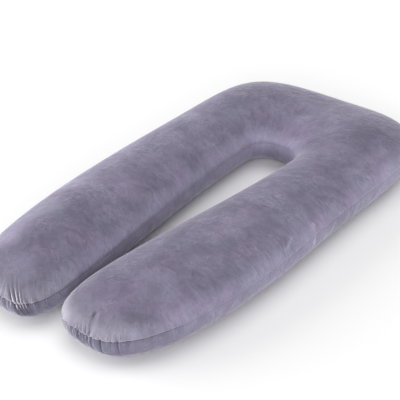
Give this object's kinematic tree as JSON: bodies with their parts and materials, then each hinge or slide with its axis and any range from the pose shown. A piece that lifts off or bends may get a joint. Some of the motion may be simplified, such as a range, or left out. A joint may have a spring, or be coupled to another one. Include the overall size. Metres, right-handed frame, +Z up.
{
  "type": "body pillow",
  "caption": "U-shaped full-length body pillow in plush velvet: a rounded head bend and long legs with gathered ends.",
  "frame": {"origin": "on the floor under the middle of the pillow's bounding box, as it lies flat", "axes": "+Y along the legs towards the head bend, +X towards the right leg, +Z up through the thickness"},
  "size_m": [0.76, 1.4978, 0.1849],
  "materials": {
    "velvet": "grey-purple crushed velvet, soft matt pile with a light edge sheen"
  },
  "bodies": {
    "root": {"pillow": "velvet"}
  },
  "joints": []
}
